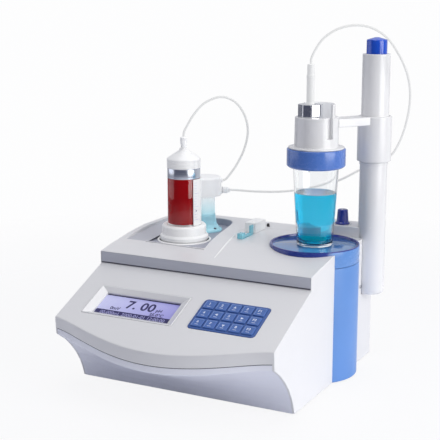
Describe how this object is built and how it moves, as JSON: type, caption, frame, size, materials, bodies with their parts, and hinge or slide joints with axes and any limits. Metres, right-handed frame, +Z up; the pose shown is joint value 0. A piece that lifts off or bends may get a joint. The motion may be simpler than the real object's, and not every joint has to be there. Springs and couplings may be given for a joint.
{
  "type": "automatic titrator with piston burette",
  "caption": "Bench titrator: wedge console with display and keypad, motor-driven glass piston burette, magnetic stirrer, and a clamped cup and head sliding on a column.",
  "frame": {"origin": "centre of the footprint, on the surface the feet stand on", "axes": "+Z up, +X to the operator's right, +Y to the back"},
  "size_m": [0.3996, 0.4101, 0.5118],
  "materials": {
    "white_body": "fine satin, light grey-white moulding",
    "white_gloss": "smooth white moulding",
    "lilac_band": "satin grey band",
    "blue_plastic": "smooth mid-blue moulding",
    "navy_plastic": "smooth dark blue moulding",
    "key_blue": "satin blue keycap",
    "keypad_blue": "satin dark blue plate",
    "display_glass": "lavender backlit display",
    "clear_glass": "clear borosilicate glass",
    "titrant_red": "clear red liquid",
    "sample_cyan": "clear cyan liquid",
    "cyan_clear": "translucent cyan acrylic",
    "translucent_white": "translucent polypropylene",
    "ptfe": "white PTFE",
    "chrome": "polished",
    "steel": "turned",
    "steel_plate": "grey sheet",
    "black_plastic": "black",
    "motor_dark": "black-coated stepper motor",
    "rubber": "soft black"
  },
  "bodies": {
    "base": {"base_pan": "steel_plate", "main_housing": "white_body", "lower_front_panel": "white_body", "fascia_band": "lilac_band", "display_bezel": "white_body", "lcd_module": "display_glass", "keypad_plate": "keypad_blue", "rear_panel": "black_plastic", "stirrer_drum": "blue_plastic", "stirrer_top": "navy_plastic", "stirrer_motor": "steel", "motor_bracket": "steel_plate", "burette_collar": "white_gloss", "burette_glass": "clear_glass", "scale_shield": "white_gloss", "chrome_ring": "chrome", "burette_cap": "white_gloss", "cap_fitting": "ptfe", "titrant": "titrant_red", "drive_motor": "motor_dark", "valve_base": "cyan_clear", "valve_body": "translucent_white", "valve_head": "white_gloss", "valve_fitting": "ptfe", "column": "white_body", "column_cap": "blue_plastic", "tip_rest": "cyan_clear", "front_foot_strip": "rubber", "rear_foot_strip": "rubber", "tube_burette_to_valve": "translucent_white", "tube_valve_to_head": "translucent_white"},
    "key_r1c1": {"key_r1c1": "key_blue"},
    "key_r1c2": {"key_r1c2": "key_blue"},
    "key_r1c3": {"key_r1c3": "key_blue"},
    "key_r1c4": {"key_r1c4": "key_blue"},
    "key_r1c5": {"key_r1c5": "key_blue"},
    "key_r2c1": {"key_r2c1": "key_blue"},
    "key_r2c2": {"key_r2c2": "key_blue"},
    "key_r2c3": {"key_r2c3": "key_blue"},
    "key_r2c4": {"key_r2c4": "key_blue"},
    "key_r2c5": {"key_r2c5": "key_blue"},
    "key_r3c1": {"key_r3c1": "key_blue"},
    "key_r3c2": {"key_r3c2": "key_blue"},
    "key_r3c3": {"key_r3c3": "key_blue"},
    "key_r3c4": {"key_r3c4": "key_blue"},
    "key_r3c5": {"key_r3c5": "key_blue"},
    "power_switch": {"power_switch": "black_plastic"},
    "speed_knob": {"speed_knob": "navy_plastic"},
    "valve_rotor": {"valve_rotor": "ptfe"},
    "piston": {"piston": "ptfe"},
    "lead_screw": {"lead_screw": "steel"},
    "magnet_rotor": {"magnet_rotor": "steel"},
    "carriage": {"carriage": "white_body", "titration_head": "white_body", "electrode_block": "chrome", "delivery_tube": "white_gloss", "cup": "clear_glass", "cup_liquid": "sample_cyan"},
    "clamp_ring": {"clamp_ring": "blue_plastic"},
    "stir_bar": {"stir_bar": "ptfe"}
  },
  "joints": [
    {"name": "key_r1c1_press", "type": "slide", "parent": "base", "child": "key_r1c1", "axis": [0, 0.3965, -0.9181], "range_m": [0, 0.0012], "stiffness_N_per_m": 320},
    {"name": "key_r1c2_press", "type": "slide", "parent": "base", "child": "key_r1c2", "axis": [0, 0.3965, -0.9181], "range_m": [0, 0.0012], "stiffness_N_per_m": 320},
    {"name": "key_r1c3_press", "type": "slide", "parent": "base", "child": "key_r1c3", "axis": [0, 0.3965, -0.9181], "range_m": [0, 0.0012], "stiffness_N_per_m": 320},
    {"name": "key_r1c4_press", "type": "slide", "parent": "base", "child": "key_r1c4", "axis": [0, 0.3965, -0.9181], "range_m": [0, 0.0012], "stiffness_N_per_m": 320},
    {"name": "key_r1c5_press", "type": "slide", "parent": "base", "child": "key_r1c5", "axis": [0, 0.3965, -0.9181], "range_m": [0, 0.0012], "stiffness_N_per_m": 320},
    {"name": "key_r2c1_press", "type": "slide", "parent": "base", "child": "key_r2c1", "axis": [0, 0.3965, -0.9181], "range_m": [0, 0.0012], "stiffness_N_per_m": 320},
    {"name": "key_r2c2_press", "type": "slide", "parent": "base", "child": "key_r2c2", "axis": [0, 0.3965, -0.9181], "range_m": [0, 0.0012], "stiffness_N_per_m": 320},
    {"name": "key_r2c3_press", "type": "slide", "parent": "base", "child": "key_r2c3", "axis": [0, 0.3965, -0.9181], "range_m": [0, 0.0012], "stiffness_N_per_m": 320},
    {"name": "key_r2c4_press", "type": "slide", "parent": "base", "child": "key_r2c4", "axis": [0, 0.3965, -0.9181], "range_m": [0, 0.0012], "stiffness_N_per_m": 320},
    {"name": "key_r2c5_press", "type": "slide", "parent": "base", "child": "key_r2c5", "axis": [0, 0.3965, -0.9181], "range_m": [0, 0.0012], "stiffness_N_per_m": 320},
    {"name": "key_r3c1_press", "type": "slide", "parent": "base", "child": "key_r3c1", "axis": [0, 0.3965, -0.9181], "range_m": [0, 0.0012], "stiffness_N_per_m": 320},
    {"name": "key_r3c2_press", "type": "slide", "parent": "base", "child": "key_r3c2", "axis": [0, 0.3965, -0.9181], "range_m": [0, 0.0012], "stiffness_N_per_m": 320},
    {"name": "key_r3c3_press", "type": "slide", "parent": "base", "child": "key_r3c3", "axis": [0, 0.3965, -0.9181], "range_m": [0, 0.0012], "stiffness_N_per_m": 320},
    {"name": "key_r3c4_press", "type": "slide", "parent": "base", "child": "key_r3c4", "axis": [0, 0.3965, -0.9181], "range_m": [0, 0.0012], "stiffness_N_per_m": 320},
    {"name": "key_r3c5_press", "type": "slide", "parent": "base", "child": "key_r3c5", "axis": [0, 0.3965, -0.9181], "range_m": [0, 0.0012], "stiffness_N_per_m": 320},
    {"name": "power_switch_rock", "type": "hinge", "parent": "base", "child": "power_switch", "pos_m": [-0.0371, 0.19184, 0.056], "axis": [-1, 0, 0], "range_deg": [0, 12]},
    {"name": "speed_knob_turn", "type": "hinge", "parent": "base", "child": "speed_knob", "pos_m": [0.1139, 0.16834, 0.2096], "axis": [0, 0, -1], "range_deg": [-140, 140]},
    {"name": "valve_rotor_turn", "type": "hinge", "parent": "base", "child": "valve_rotor", "pos_m": [-0.1011, 0.12884, 0.2418], "axis": [0, 0, 1], "range_deg": [0, 90]},
    {"name": "piston_stroke", "type": "slide", "parent": "base", "child": "piston", "axis": [0, 0, 1], "range_m": [0, 0.065], "deforming": ["titrant"]},
    {"name": "lead_screw_turn", "type": "hinge", "parent": "base", "child": "lead_screw", "pos_m": [-0.0989, 0.05384, 0.0503], "axis": [0, 0, 1], "range_deg": [0, 4700]},
    {"name": "magnet_rotor_spin", "type": "hinge", "parent": "base", "child": "magnet_rotor", "pos_m": [0.1044, 0.08174, 0.164], "axis": [0, 0, 1], "continuous": true},
    {"name": "carriage_slide", "type": "slide", "parent": "base", "child": "carriage", "axis": [0, 0, 1], "range_m": [0, 0.085], "deforming": ["tube_valve_to_head"]},
    {"name": "clamp_ring_turn", "type": "hinge", "parent": "carriage", "child": "clamp_ring", "pos_m": [0.1044, 0.08174, 0.3084], "axis": [0, 0, 1], "range_deg": [-120, 0]},
    {"name": "stir_bar_spin", "type": "hinge", "parent": "carriage", "child": "stir_bar", "pos_m": [0.1044, 0.08174, 0.2047], "axis": [0, 0, 1], "continuous": true}
  ],
  "couplings": [
    {"joint": "lead_screw_turn", "follows": "piston_stroke", "rad_per_m": 1256.6},
    {"joint": "stir_bar_spin", "follows": "magnet_rotor_spin", "ratio": 1}
  ]
}
